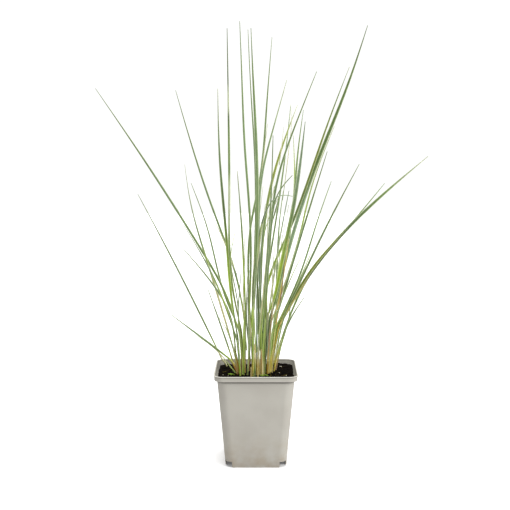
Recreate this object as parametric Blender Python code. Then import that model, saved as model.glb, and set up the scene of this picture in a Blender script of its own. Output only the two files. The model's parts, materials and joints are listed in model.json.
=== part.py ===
"""A clump of blue-green ornamental grass growing in a square plastic nursery pot.

The origin is at the middle of the pot's base, on the ground. +Z is up and -Y is the front.
The tables and the named sizes are in millimetres. The meshes are in metres.
"""

import math

import bmesh
import bpy
import numpy as np
from mathutils import Vector

MM = 0.001
GAP = 0.3  # clearance between pieces that touch

# Pot
POT_HEIGHT = 101.5
LIP_WIDTH = 90.0
LIP_HEIGHT = 1.2
MOUTH_WIDTH = 87.0  # inner edge of the lip
BAND_WIDTH = 88.6
BAND_HEIGHT = 5.8  # from the top of the lip to the underside of the band
BODY_TOP_WIDTH = 82.8
BASE_WIDTH = 65.4
WALL = 1.0
RIM_CORNER_RADIUS = 10.0
TOP_CORNER_RADIUS = 11.0
BASE_CORNER_RADIUS = 9.0
CORNER_SEGMENTS = 7
FLOOR_UNDERSIDE = 6.0  # height of the raised floor above the ground
FLOOR_THICKNESS = 1.2
NOTCH_HEIGHT = 6.3
SKIRT_WIDTH_TOP = 50.8
SKIRT_WIDTH_BASE = 47.8
DRAIN_RADIUS = 3.5
DRAIN_SPACING = 36.0

# Potting soil
SOIL_TOP = 95.0
CROWN_RADIUS = 26.0  # the level patch that the grass stands on

# Shoots and leaves
SHOOT_SIDES = 8
SHOOT_FOOT = SOIL_TOP + GAP
LEAF_STATIONS = 13
LEAF_THICKNESS = 0.6
LEAF_BASE_WIDTH = 1.0
LEAF_BASE_SPACING = 1.35
FULL_WIDTH_AT = 0.28  # share of a leaf's length where it reaches its full width
TIP_TAPER_FROM = 0.55


def rgb(red, green, blue):
    """A linear colour from the 0 to 255 values of a colour chart."""
    linear = [((c / 255 + 0.055) / 1.055) ** 2.4 for c in (red, green, blue)]
    return (*linear, 1.0)


COLOURS = {
    "pot_plastic": (rgb(184, 178, 167), 0.55),
    "peat": (rgb(38, 30, 26), 0.95),
    "moss": (rgb(120, 150, 40), 0.9),
    "sheath": (rgb(176, 160, 96), 0.6),
    "green_leaf": (rgb(126, 147, 106), 0.55),
    "dry_leaf": (rgb(160, 120, 70), 0.7),
}


def make_material(name):
    colour, roughness = COLOURS[name]
    material = bpy.data.materials.new(name)
    material.use_nodes = True
    surface = material.node_tree.nodes["Principled BSDF"]
    surface.inputs["Base Color"].default_value = colour
    surface.inputs["Roughness"].default_value = roughness
    surface.inputs["Metallic"].default_value = 0.0
    return material


def clear_scene():
    for old in list(bpy.data.objects):
        bpy.data.objects.remove(old)


def make_collection(name):
    collection = bpy.data.collections.new(name)
    bpy.context.scene.collection.children.link(collection)
    return collection


def add_object(name, bm, material, collection):
    """Turn a finished bmesh, in millimetres, into a named object in metres."""
    bmesh.ops.scale(bm, vec=(MM, MM, MM), verts=bm.verts)
    bmesh.ops.recalc_face_normals(bm, faces=bm.faces)
    mesh = bpy.data.meshes.new(name)
    bm.to_mesh(mesh)
    bm.free()
    mesh.materials.append(material)
    thing = bpy.data.objects.new(name, mesh)
    collection.objects.link(thing)
    return thing


def extrude_through(bm, rings):
    """Extrude a face through a row of rings. Returns the last face."""
    base = bm.faces.new([bm.verts.new(place) for place in rings[0]])
    face = base
    for ring in rings[1:]:
        made = bmesh.ops.extrude_face_region(bm, geom=[face])["geom"]
        if face is not base:
            bmesh.ops.delete(bm, geom=[face], context="FACES_ONLY")
        face = next(item for item in made if isinstance(item, bmesh.types.BMFace))
        for vert, place in zip(face.verts, ring):
            vert.co = place
    return face


def rounded_square(width, radius, z):
    """The points of a level square with round corners."""
    inner = width / 2 - radius
    points = []
    for corner in range(4):
        middle = math.radians(45 + 90 * corner)
        centre = Vector((math.copysign(inner, math.cos(middle)), math.copysign(inner, math.sin(middle)), z))
        for step in range(CORNER_SEGMENTS + 1):
            angle = math.radians(90 * corner + 90 * step / CORNER_SEGMENTS)
            points.append(centre + radius * Vector((math.cos(angle), math.sin(angle), 0)))
    return points


def body_width(z):
    """Outer width of the tapering pot wall at a height."""
    share = z / (POT_HEIGHT - BAND_HEIGHT)
    return BASE_WIDTH + share * (BODY_TOP_WIDTH - BASE_WIDTH)


def body_radius(z):
    share = z / (POT_HEIGHT - BAND_HEIGHT)
    return BASE_CORNER_RADIUS + share * (TOP_CORNER_RADIUS - BASE_CORNER_RADIUS)


def wall_ring(z, inset=0.0):
    return rounded_square(body_width(z) - 2 * inset, body_radius(z) - inset, z)


def build_pot(material, parts, cutters):
    """One thin moulded shell: skirt, raised floor, tapering wall, flared mouth, band and lip."""
    band_base = POT_HEIGHT - BAND_HEIGHT
    lip_base = POT_HEIGHT - LIP_HEIGHT
    lip_radius = RIM_CORNER_RADIUS + (LIP_WIDTH - BAND_WIDTH) / 2
    mouth_radius = lip_radius - (LIP_WIDTH - MOUTH_WIDTH) / 2
    rings = [
        wall_ring(FLOOR_UNDERSIDE, WALL),
        wall_ring(0.0, WALL),
        wall_ring(0.0),
        wall_ring(band_base),
        rounded_square(BAND_WIDTH, RIM_CORNER_RADIUS, band_base),
        rounded_square(BAND_WIDTH, RIM_CORNER_RADIUS, lip_base),
        rounded_square(LIP_WIDTH, lip_radius, lip_base),
        rounded_square(LIP_WIDTH, lip_radius, POT_HEIGHT),
        rounded_square(MOUTH_WIDTH, mouth_radius, POT_HEIGHT),
        wall_ring(band_base, WALL),
        wall_ring(FLOOR_UNDERSIDE + FLOOR_THICKNESS, WALL),
    ]
    bm = bmesh.new()
    extrude_through(bm, rings)
    pot = add_object("pot", bm, material, parts)
    for index in range(4):
        cut(pot, corner_notch(index, cutters))
        cut(pot, drain_hole(index, cutters))
    pot.data.set_sharp_from_angle(angle=math.radians(30))
    return pot


def add_cutter(name, bm, cutters):
    bmesh.ops.scale(bm, vec=(MM, MM, MM), verts=bm.verts)
    bmesh.ops.recalc_face_normals(bm, faces=bm.faces)
    mesh = bpy.data.meshes.new(name)
    bm.to_mesh(mesh)
    bm.free()
    cutter = bpy.data.objects.new(name, mesh)
    cutter.hide_render = True
    cutter.display_type = "WIRE"
    cutters.objects.link(cutter)
    return cutter


def cut(target, cutter):
    boolean = target.modifiers.new(cutter.name, "BOOLEAN")
    boolean.operation = "DIFFERENCE"
    boolean.solver = "EXACT"
    boolean.object = cutter


def corner_signs(index):
    angle = math.radians(45 + 90 * index)
    return math.copysign(1, math.cos(angle)), math.copysign(1, math.sin(angle))


def corner_notch(index, cutters):
    """A block that cuts the skirt away at one corner and flares a little towards the ground."""
    reach = 12.0
    below = 2.0
    slope = (SKIRT_WIDTH_TOP - SKIRT_WIDTH_BASE) / 2 / NOTCH_HEIGHT
    bm = bmesh.new()
    bmesh.ops.create_cube(bm, size=1.0)
    along_x, along_y = corner_signs(index)
    for vert in bm.verts:
        z = NOTCH_HEIGHT if vert.co.z > 0 else -below
        near = SKIRT_WIDTH_TOP / 2 - slope * (NOTCH_HEIGHT - z)
        x = near if vert.co.x < 0 else near + reach
        y = near if vert.co.y < 0 else near + reach
        vert.co = (along_x * x, along_y * y, z)
    return add_cutter(f"notch_cutter_{index + 1}", bm, cutters)


def drain_hole(index, cutters):
    along_x, along_y = corner_signs(index)
    bm = bmesh.new()
    bmesh.ops.create_cone(
        bm, cap_ends=True, segments=16, radius1=DRAIN_RADIUS, radius2=DRAIN_RADIUS, depth=3 * FLOOR_THICKNESS
    )
    middle = FLOOR_UNDERSIDE + FLOOR_THICKNESS / 2
    place = Vector((along_x * DRAIN_SPACING / 2, along_y * DRAIN_SPACING / 2, middle))
    bmesh.ops.translate(bm, vec=place, verts=bm.verts)
    return add_cutter(f"drain_cutter_{index + 1}", bm, cutters)


def build_soil(material, parts):
    """The block of peat: the pot's inner shape, with a gently uneven top round a level crown."""
    base = FLOOR_UNDERSIDE + FLOOR_THICKNESS + GAP
    inset = WALL + GAP
    edge = wall_ring(SOIL_TOP, inset)
    rings = [wall_ring(base, inset), edge]
    for share, lift in ((0.86, -1.0), (0.74, -1.5)):
        ring = []
        for index, place in enumerate(edge):
            ripple = 0.5 * math.sin(2.4 * index) + 0.4 * math.sin(1.1 * index + 1.0)
            ring.append(Vector((share * place.x, share * place.y, SOIL_TOP + lift + ripple)))
        rings.append(ring)
    crown = [CROWN_RADIUS * place.xy.normalized() for place in edge]
    rings.append([Vector((place.x, place.y, SOIL_TOP)) for place in crown])
    bm = bmesh.new()
    extrude_through(bm, rings)
    return add_object("potting_soil", bm, material, parts)


def build_moss(name, place, size, material, parts):
    """A low cushion of moss lying on the soil."""
    bm = bmesh.new()
    bmesh.ops.create_icosphere(bm, subdivisions=2, radius=1.0)
    bmesh.ops.scale(bm, vec=size, verts=bm.verts)
    whole = bm.verts[:] + bm.edges[:] + bm.faces[:]
    bmesh.ops.bisect_plane(bm, geom=whole, plane_co=(0, 0, 0), plane_no=(0, 0, -1), clear_outer=True)
    rim = [edge for edge in bm.edges if edge.is_boundary]
    bmesh.ops.contextual_create(bm, geom=rim)
    bmesh.ops.translate(bm, vec=(place[0], place[1], SOIL_TOP + GAP), verts=bm.verts)
    return add_object(name, bm, material, parts)


def smooth_path(points, count):
    """Evenly spaced places on a natural cubic spline through the points."""
    points = np.array(points, float)
    knots = np.concatenate([[0.0], np.cumsum(np.linalg.norm(np.diff(points, axis=0), axis=1))])
    steps = np.diff(knots)
    size = len(points)
    system = np.eye(size)
    rates = np.zeros_like(points)
    for i in range(1, size - 1):
        system[i, i - 1 : i + 2] = steps[i - 1], 2 * (steps[i - 1] + steps[i]), steps[i]
        slope_after = (points[i + 1] - points[i]) / steps[i]
        slope_before = (points[i] - points[i - 1]) / steps[i - 1]
        rates[i] = 6 * (slope_after - slope_before)
    bends = np.linalg.solve(system, rates)
    places = []
    for length in np.linspace(0, knots[-1], count):
        i = min(int(np.searchsorted(knots, length, side="right")) - 1, size - 2)
        before, after, step = length - knots[i], knots[i + 1] - length, steps[i]
        place = (after**3 * bends[i] + before**3 * bends[i + 1]) / (6 * step)
        place += (points[i] / step - bends[i] * step / 6) * after
        place += (points[i + 1] / step - bends[i + 1] * step / 6) * before
        places.append(Vector(place))
    return places


def headings(path):
    """The direction of travel at each place of a path."""
    ends = [path[0]] + list(path) + [path[-1]]
    return [(ends[i + 2] - ends[i]).normalized() for i in range(len(path))]


def facing(heading, turn):
    """The blade's width direction and its normal. At turn 0 its broad side faces the front."""
    front = Vector((0, -1, 0))
    normal = (front - front.dot(heading) * heading).normalized()
    across = heading.cross(normal)
    cosine, sine = math.cos(math.radians(turn)), math.sin(math.radians(turn))
    return cosine * across + sine * normal, cosine * normal - sine * across


def build_shoot(name, foot, collar, thickness, material, parts):
    """A shoot: leaf sheaths rolled round each other into a slim stem."""
    start = Vector((foot[0], foot[1], SHOOT_FOOT))
    end = Vector(collar)
    middle = start.lerp(end, 0.5)
    lean = Vector((end.x - start.x, end.y - start.y, 0))
    path = smooth_path([start, middle - 0.08 * lean, end], 4)
    rings = []
    for index, place in enumerate(path):
        radius = thickness / 2 * (1.0 - 0.18 * index / (len(path) - 1))
        angles = [2 * math.pi * side / SHOOT_SIDES for side in range(SHOOT_SIDES)]
        rings.append([place + radius * Vector((math.cos(a), math.sin(a), 0)) for a in angles])
    bm = bmesh.new()
    extrude_through(bm, rings)
    shoot = add_object(name, bm, material, parts)
    shoot.data.shade_smooth()
    shoot.data.set_sharp_from_angle(angle=math.radians(50))
    return shoot


def blade_width(share, full):
    """A blade is narrow where it leaves the sheath, widest in its lower part and fine at the tip."""
    if share < FULL_WIDTH_AT:
        rise = math.sin(math.pi / 2 * share / FULL_WIDTH_AT)
        return LEAF_BASE_WIDTH + rise * (full - LEAF_BASE_WIDTH)
    if share < TIP_TAPER_FROM:
        return full
    fall = (share - TIP_TAPER_FROM) / (1 - TIP_TAPER_FROM)
    return full * (1 - 0.88 * fall**1.5)


def build_leaf(name, points, width, turn, twist, material, parts):
    """A long blade with a shallow keel, extruded ring by ring and drawn to a point at its tip."""
    path = smooth_path(points, LEAF_STATIONS)
    rings = []
    for index, (place, heading) in enumerate(zip(path, headings(path))):
        share = index / (LEAF_STATIONS - 1)
        across, normal = facing(heading, turn + twist * share)
        half = blade_width(share, width) / 2
        thick = LEAF_THICKNESS / 2 * (1 - 0.5 * share)
        rings.append(
            [place + half * across, place - thick * normal, place - half * across, place + thick * normal]
        )
    bm = bmesh.new()
    last = extrude_through(bm, rings)
    bmesh.ops.pointmerge(bm, verts=last.verts[:], merge_co=path[-1])
    return add_object(name, bm, material, parts)


# Each shoot: foot (x, y) on the soil, collar (x, y, z) where the blades leave it, thickness.
# Each of its leaves: the places (x, y, z) it bends through, its tip last, then its width, its turn
# and its twist in degrees, and whether it is green or dry.
SHOOTS = [
    ((-20, -4), (-26, -8, 111), 2.4, [
        ([(-50, -17, 132), (-90, -35, 167)], 2.2, 20, 40, "green_leaf"),
        ([(-37, -15, 149), (-51, -28, 193)], 1.8, 30, 30, "green_leaf"),
    ]),
    ((-18, 1), (-23, 0, 119), 2.4, [
        ([(-53, 10, 216), (-73, 24, 285), (-79, 30, 324)], 2.6, 40, 30, "green_leaf"),
        ([(-29, -2, 162), (-46, -7, 194), (-78, -30, 237)], 2.0, 30, 30, "green_leaf"),
    ]),
    ((-17, -8), (-20, -8, 134), 2.6, [
        ([(-45, -17, 203), (-75, -38, 261)], 2.0, 30, 40, "green_leaf"),
        ([(-26, -12, 178), (-31, -22, 244), (-37, -42, 328), (-38, -60, 398)], 2.6, 20, 30, "green_leaf"),
    ]),
    ((-13.5, -3), (-17, -2, 142), 2.6, [
        ([(-32, 5, 180), (-61, 18, 231), (-118, 40, 318), (-182, 60, 410)], 2.4, 20, 40, "green_leaf"),
        ([(-34, 12, 179), (-54, 38, 250), (-74, 55, 303)], 1.8, 20, 40, "green_leaf"),
        ([(-25, 2, 187), (-29, 10, 285), (-30, 16, 399), (-31, 18, 470)], 2.2, 0, 30, "green_leaf"),
    ]),
    ((-12, 4), (-12, 6, 152), 2.6, [
        ([(-19, 16, 189), (-48, 39, 273), (-92, 70, 409)], 2.2, 30, 30, "green_leaf"),
        ([(-14, -40, 246), (-18, -93, 316)], 1.8, 0, 40, "green_leaf"),
    ]),
    ((-8, 14), (-6, 18, 154), 2.6, [
        ([(-6, 17, 252), (-12, 27, 340), (-16, 42, 434), (-18, 50, 483)], 2.2, 10, 30, "green_leaf"),
        ([(-5, 30, 260), (4, 36, 304), (11, 40, 373), (18, 46, 465)], 2.4, 20, 30, "green_leaf"),
        ([(-1, 48, 329), (-5, 62, 397), (-9, 80, 479)], 1.8, 30, 30, "green_leaf"),
    ]),
    ((-3, -8), (-3, -12, 166), 3.2, [
        ([(1, -14, 248), (1, -18, 328), (-3, -22, 416), (-5, -25, 463)], 2.8, 10, 30, "green_leaf"),
        ([(0, -30, 209), (1, -40, 228)], 1.8, 0, 20, "green_leaf"),
    ]),
    ((1, -4), (1, -4, 176), 3.0, [
        ([(3, 4, 247), (6, 11, 307), (18, 19, 359), (34, 29, 416)], 2.2, 20, 30, "green_leaf"),
    ]),
    ((3, 20), (4, 24, 153), 2.6, [
        ([(16, 42, 295), (30, 62, 344), (49, 95, 394)], 2.8, 10, 20, "green_leaf"),
        ([(34, 75, 335), (42, 120, 396)], 1.8, 20, 30, "green_leaf"),
    ]),
    ((5.5, -5), (7, -6, 141), 2.6, [
        ([(15, -80, 290), (16, -125, 349)], 1.6, 20, 30, "green_leaf"),
        ([(4, -12, 200), (6, -15, 259), (14, -30, 281), (24, -45, 291), (37, -60, 291)],
         2.2, 30, 30, "green_leaf"),
        ([(14, -5, 200), (28, -7, 235), (47, -5, 281), (75, -9, 363), (98, -15, 425)],
         2.6, 30, 30, "green_leaf"),
    ]),
    ((9, -2), (10, -2, 157), 2.4, [
        ([(18, -10, 263), (24, -20, 287)], 1.8, 30, 20, "green_leaf"),
        ([(15, 5, 242), (23, -1, 306), (41, -13, 363), (63, -24, 419)], 2.2, 20, 30, "green_leaf"),
        ([(12, -15, 192), (16, -25, 255), (22, -52, 292), (36, -80, 312)], 1.8, 20, 30, "green_leaf"),
        ([(20, -13, 182), (25, -25, 209), (38, -52, 279), (47, -100, 363)], 3.6, 10, 20, "green_leaf"),
    ]),
    ((13, 2), (15, 3, 152), 2.6, [
        ([(28, 20, 250), (37, 30, 295)], 1.8, 20, 30, "green_leaf"),
        ([(44, 61, 295), (44, 93, 359)], 2.0, 10, 30, "green_leaf"),
        ([(38, 12, 238), (65, 20, 320), (101, 29, 411), (123, 36, 476)], 3.6, 10, 20, "green_leaf"),
        ([(50, 3, 257), (57, 5, 287), (85, 10, 365)], 1.8, 30, 30, "green_leaf"),
    ]),
    ((15, 8), (21, 14, 148), 2.6, [
        ([(43, 34, 290), (47, 50, 331), (55, 75, 387)], 2.4, 20, 30, "green_leaf"),
        ([(31, -3, 187), (51, -25, 260), (72, -55, 336)], 2.0, 20, 30, "green_leaf"),
        ([(27, 60, 255), (33, 105, 293)], 1.8, 20, 30, "green_leaf"),
    ]),
    ((17, 14), (25, 20, 144), 2.6, [
        ([(47, 27, 195), (68, 43, 255), (87, 65, 305)], 1.8, 30, 30, "green_leaf"),
        ([(45, -12, 193), (71, -48, 257), (102, -75, 323)], 2.2, 30, 30, "green_leaf"),
        ([(66, -4, 218), (99, -10, 257)], 2.6, 20, 20, "dry_leaf"),
        ([(48, 14, 185), (103, -2, 259), (181, -20, 332)], 3.2, 20, 20, "green_leaf"),
    ]),
    ((20.5, 14), (26, 14, 121), 2.2, [
        ([(60, 22, 201), (108, 26, 261), (144, 35, 303)], 2.0, 20, 30, "green_leaf"),
        ([(36, 3, 151), (53, -5, 181)], 1.8, 30, 30, "green_leaf"),
    ]),
    ((-33, 34), (-39, 34, 104), 2.2, [
        ([(-91, 51, 207), (-136, 65, 290)], 2.0, 30, 30, "green_leaf"),
    ]),
]

MOSS = {
    "moss_left": ((-27.0, -4.0), (3.0, 2.4, 1.6)),
    "moss_front": ((9.0, -10.0), (4.5, 2.0, 1.4)),
}


def leaf_start(collar, index, count):
    """Leaves leave the top of their shoot side by side, from left to right."""
    aside = LEAF_BASE_SPACING * (index - (count - 1) / 2)
    return (collar[0] + aside, collar[1], collar[2] + 2 * GAP)


def build_grass(materials, parts):
    number = 0
    for index, (foot, collar, thickness, leaves) in enumerate(SHOOTS, start=1):
        build_shoot(f"shoot_{index:02d}", foot, collar, thickness, materials["sheath"], parts)
        for order, (bends, width, turn, twist, kind) in enumerate(leaves):
            number += 1
            points = [leaf_start(collar, order, len(leaves)), *bends]
            build_leaf(f"leaf_{number:02d}", points, width, turn, twist, materials[kind], parts)


def main():
    clear_scene()
    parts = make_collection("potted_ornamental_grass")
    cutters = make_collection("cutters")
    materials = {name: make_material(name) for name in COLOURS}
    build_pot(materials["pot_plastic"], parts, cutters)
    build_soil(materials["peat"], parts)
    for name, (place, size) in MOSS.items():
        build_moss(name, place, size, materials["moss"], parts)
    build_grass(materials, parts)


main()
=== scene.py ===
# %% [markdown]
# # A clump of grass in a nursery pot
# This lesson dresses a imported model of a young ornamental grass. The plant is a fan of narrow,
# grey-green blades that rise from sixteen slim shoots, and the shoots stand in peat in a small
# square pot of pale plastic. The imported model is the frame: it says where each piece is and how
# big it is. Every cell below replaces one kind of plain solid with a finished piece in that place.

import json
import math
import random

import bmesh
import bpy
import numpy as np
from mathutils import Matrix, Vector, noise


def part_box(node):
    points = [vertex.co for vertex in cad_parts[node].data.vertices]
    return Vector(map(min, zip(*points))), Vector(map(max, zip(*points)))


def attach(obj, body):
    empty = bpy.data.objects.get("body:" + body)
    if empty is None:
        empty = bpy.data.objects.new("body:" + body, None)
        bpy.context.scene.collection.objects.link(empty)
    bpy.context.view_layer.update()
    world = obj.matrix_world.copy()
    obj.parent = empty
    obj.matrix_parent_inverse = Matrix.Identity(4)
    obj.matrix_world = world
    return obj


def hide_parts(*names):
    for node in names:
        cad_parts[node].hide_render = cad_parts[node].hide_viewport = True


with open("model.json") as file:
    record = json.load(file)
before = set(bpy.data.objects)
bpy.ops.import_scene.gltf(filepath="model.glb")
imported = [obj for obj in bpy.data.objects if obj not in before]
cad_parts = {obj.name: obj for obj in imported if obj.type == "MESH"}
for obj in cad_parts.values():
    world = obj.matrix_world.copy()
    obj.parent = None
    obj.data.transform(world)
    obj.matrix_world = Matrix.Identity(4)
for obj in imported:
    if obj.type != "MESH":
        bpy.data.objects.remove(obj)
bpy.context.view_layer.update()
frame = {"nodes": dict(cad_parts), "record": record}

# %% [markdown]
# ## Working units and chance
# A plant is easier to think about in millimetres, so lengths below are written as a number times
# MM. Chance gives crumbs and moss their irregular places. One seeded source is used for all of it,
# so the script makes the same plant each time.

# %% Units and chance
MM = 0.001
chance = random.Random(7)
pot_low, pot_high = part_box("pot")
print("pot height in mm:", round((pot_high[2] - pot_low[2]) / MM, 1))

# %% [markdown]
# ## Objects and nodes
# Two kinds of work come back all the time. Data has to become an object in the scene, and shader
# nodes have to be added and linked. These small helpers do each in one call, so that the cells
# below read as a list of what is made. Colours are written as on a colour chart, from 0 to 255.


# %% Helper: objects
def as_mesh(name, bm):
    """Turn a bmesh into a mesh and let it go."""
    mesh = bpy.data.meshes.new(name)
    bm.to_mesh(mesh)
    bm.free()
    return mesh


def add_object(name, data):
    """An object for some data, linked to the scene."""
    added = bpy.data.objects.new(name, data)
    bpy.context.scene.collection.objects.link(added)
    return added


print("object helpers ready")


# %% Helper: wire nodes
def fill(tree, node, links):
    """Fill inputs, by name or number, from a socket or a plain value."""
    for key, value in links.items():
        if isinstance(value, bpy.types.NodeSocket):
            tree.links.new(value, node.inputs[key])
        else:
            node.inputs[key].default_value = value
    return node


def wire(tree, kind, links=None, **settings):
    """Add a node, set it up and fill its inputs."""
    node = tree.nodes.new(kind)
    for key, value in settings.items():
        setattr(node, key, value)
    return fill(tree, node, links or {})


def place_group(tree, group, links):
    return wire(tree, "ShaderNodeGroup", links, node_tree=group)


def mix_colour(tree, factor, low, high, blend="MIX"):
    """A colour mix. Returns its result socket."""
    links = {0: factor, 6: low, 7: high}
    return wire(tree, "ShaderNodeMix", links, data_type="RGBA", blend_type=blend).outputs[2]


def rescale(tree, value, low, high, to_low=0.0, to_high=1.0):
    """Map a value from one range to another, clamped, with a soft start and end."""
    links = {"Value": value, "From Min": low, "From Max": high, "To Min": to_low, "To Max": to_high}
    return wire(tree, "ShaderNodeMapRange", links, interpolation_type="SMOOTHSTEP").outputs["Result"]


def maths(tree, operation, first, second=0.0):
    return wire(tree, "ShaderNodeMath", {0: first, 1: second}, operation=operation).outputs[0]


def soft_noise(tree, place, scale, detail):
    """Smooth noise. Returns its value socket."""
    links = {"Vector": place, "Scale": scale, "Detail": detail}
    return wire(tree, "ShaderNodeTexNoise", links).outputs["Fac"]


def rgb(red, green, blue):
    """A linear colour from the 0 to 255 values of a colour chart."""
    linear = [((c / 255 + 0.055) / 1.055) ** 2.4 for c in (red, green, blue)]
    return (*linear, 1.0)


print("node helpers ready")

# %% [markdown]
# ## The view
# The plant is seen from the front, from a little under a metre away, with the lens at about two
# thirds of the plant's height and tipped slightly down. A moderately long lens keeps the pot's
# sides nearly straight.

# %% Camera
CAMERA_DISTANCE = 918.3 * MM
CAMERA_HEIGHT = 312.9 * MM
CAMERA_TIP = math.radians(5.42)

camera_data = bpy.data.cameras.new("camera")
camera_data.lens = 60.0
camera_data.sensor_width = 36.0
camera_data.shift_x = -0.0017
camera_data.shift_y = 0.0001
camera_data.clip_start = 0.01
camera = add_object("camera", camera_data)
camera.location = (0.0, -CAMERA_DISTANCE, CAMERA_HEIGHT)
camera.rotation_euler = (math.pi / 2 - CAMERA_TIP, 0.0, 0.0)
bpy.context.scene.camera = camera
print("camera at", tuple(round(c, 3) for c in camera.location))

# %% [markdown]
# ## Studio
# A white floor and a white surround give the even light of a product table. A broad lamp overhead
# leaves only a faint shadow where the pot stands. One large soft lamp far to the right makes that
# side of the pot lighter. The surround lights less than it shows, as it would beside dark cards,
# which leaves the shaded side of the pot a clear step darker. The floor does the same: to the
# camera it is white with a trace of glow, and to the pot it is a plain mid grey.

# %% Floor and surround
WHITE = (1.0, 1.0, 1.0, 1.0)
FLOOR_HALF = 6.0
FLOOR_SHOWN = (0.95, 0.95, 0.95, 1.0)
FLOOR_BOUNCE = (0.5, 0.5, 0.5, 1.0)
FLOOR_GLOW = 0.1
SURROUND_LIGHT = 0.72
SURROUND_SHOWN = 1.05

bpy.context.scene.view_settings.view_transform = "Standard"
floor_mesh = bmesh.new()
bmesh.ops.create_grid(floor_mesh, x_segments=1, y_segments=1, size=FLOOR_HALF)
sweep = bpy.data.materials.new("white_sweep")
sweep.use_nodes = True
tree = sweep.node_tree
straight = wire(tree, "ShaderNodeLightPath").outputs["Is Camera Ray"]
finish = {
    "Base Color": mix_colour(tree, straight, FLOOR_BOUNCE, FLOOR_SHOWN),
    "Roughness": 1.0,
    "Emission Color": WHITE,
    "Emission Strength": maths(tree, "MULTIPLY", straight, FLOOR_GLOW),
}
fill(tree, tree.nodes["Principled BSDF"], finish)
floor = add_object("floor", as_mesh("floor", floor_mesh))
floor.data.materials.append(sweep)

world = bpy.data.worlds.new("surround")
world.use_nodes = True
tree = world.node_tree
straight = wire(tree, "ShaderNodeLightPath").outputs["Is Camera Ray"]
strength = rescale(tree, straight, 0.0, 1.0, SURROUND_LIGHT, SURROUND_SHOWN)
fill(tree, tree.nodes["Background"], {"Color": WHITE, "Strength": strength})
bpy.context.scene.world = world
print("floor half width in m:", FLOOR_HALF)


# %% Lamps
def add_lamp(name, kind, place, target, **settings):
    """A lamp at a place, turned to face a target."""
    lamp = bpy.data.lights.new(name, kind)
    for key, value in settings.items():
        setattr(lamp, key, value)
    holder = add_object(name, lamp)
    holder.location = place
    holder.rotation_euler = (Vector(target) - Vector(place)).to_track_quat("-Z", "Y").to_euler()


add_lamp("overhead", "SUN", (0.0, 0.0, 2.0), (0.0, 0.0, 0.0), energy=2.8, angle=math.radians(30))
add_lamp("key", "AREA", (1.45, -0.9, 0.9), (0.0, 0.0, 0.2), shape="DISK", size=1.5, energy=22.5)
print("lamps:", len(bpy.data.lights))

# %% [markdown]
# ## Handing a piece over
# Every finished piece is a mesh whose object stays at the origin. This helper turns a bmesh into
# such an object with its material and smooth shading, lets it ride on the imported body, and hides
# the plain solids that it stands for.


# %% Helper: make a piece
def make_piece(name, bm, material, stands_for=(), smooth_below=40):
    mesh = as_mesh(name, bm)
    mesh.materials.append(material)
    mesh.shade_smooth()
    mesh.set_sharp_from_angle(angle=math.radians(smooth_below))
    piece = add_object(name, mesh)
    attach(piece, "root")
    if stands_for:
        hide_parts(*stands_for)
    return piece


print("a finished piece rides on the body called root")

# %% [markdown]
# ## Node groups
# Three effects come back in several materials, so each is a node group with named sockets. Mottle
# mixes two colours by soft noise. Ribs draws the fine lengthwise veins that every grass blade and
# sheath has. Grime darkens a surface near the ground.


# %% Helper: node groups
def new_group(name, inputs, outputs):
    """A shader node group. Inputs are (name, type, default) and outputs are (name, type)."""
    group = bpy.data.node_groups.new(name, "ShaderNodeTree")
    for label, kind, default in inputs:
        socket = group.interface.new_socket(label, in_out="INPUT", socket_type="NodeSocket" + kind)
        socket.default_value = default
    for label, kind in outputs:
        group.interface.new_socket(label, in_out="OUTPUT", socket_type="NodeSocket" + kind)
    return group, wire(group, "NodeGroupInput").outputs, wire(group, "NodeGroupOutput")


print("group helper ready")

# %% Group: mottle
mottle, given, result = new_group(
    "mottle",
    [
        ("Place", "Vector", (0, 0, 0)),
        ("Scale", "Float", 100.0),
        ("Low", "Color", (0, 0, 0, 1)),
        ("High", "Color", (1, 1, 1, 1)),
    ],
    [("Color", "Color"), ("Mask", "Float")],
)
mask = rescale(mottle, soft_noise(mottle, given["Place"], given["Scale"], 5.0), 0.32, 0.68)
fill(mottle, result, {"Color": mix_colour(mottle, mask, given["Low"], given["High"]), "Mask": mask})
print("group:", mottle.name)

# %% Group: ribs
ribs, given, result = new_group(
    "ribs",
    [("Across", "Float", 0.5), ("Count", "Float", 9.0), ("Place", "Vector", (0, 0, 0))],
    [("Line", "Float"), ("Height", "Float")],
)
wander = maths(ribs, "SUBTRACT", soft_noise(ribs, given["Place"], 60.0, 2.0), 0.5)
shift = maths(ribs, "MULTIPLY", wander, 0.06)
turns = maths(ribs, "MULTIPLY", maths(ribs, "ADD", given["Across"], shift), given["Count"])
wave = maths(ribs, "SINE", maths(ribs, "MULTIPLY", turns, 2 * math.pi))
fill(ribs, result, {"Line": rescale(ribs, wave, -0.5, 0.9), "Height": maths(ribs, "MULTIPLY", wave, 0.5)})
print("group:", ribs.name)

# %% Group: grime
grime, given, result = new_group(
    "grime",
    [
        ("Place", "Vector", (0, 0, 0)),
        ("Color", "Color", (1, 1, 1, 1)),
        ("Dirt", "Color", rgb(120, 96, 66)),
        ("Amount", "Float", 0.5),
        ("Low", "Float", 0.0),
        ("High", "Float", 0.03),
    ],
    [("Color", "Color"), ("Mask", "Float")],
)
height = wire(grime, "ShaderNodeSeparateXYZ", {0: given["Place"]}).outputs["Z"]
span = {"Value": height, "From Min": given["Low"], "From Max": given["High"], "To Min": 1.0, "To Max": 0.0}
near_ground = wire(grime, "ShaderNodeMapRange", span).outputs["Result"]
patches = rescale(grime, soft_noise(grime, given["Place"], 90.0, 6.0), 0.3, 0.75)
mask = maths(grime, "MULTIPLY", maths(grime, "MULTIPLY", near_ground, patches), given["Amount"])
fill(grime, result, {"Color": mix_colour(grime, mask, given["Color"], given["Dirt"]), "Mask": mask})
print("group:", grime.name)
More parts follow.
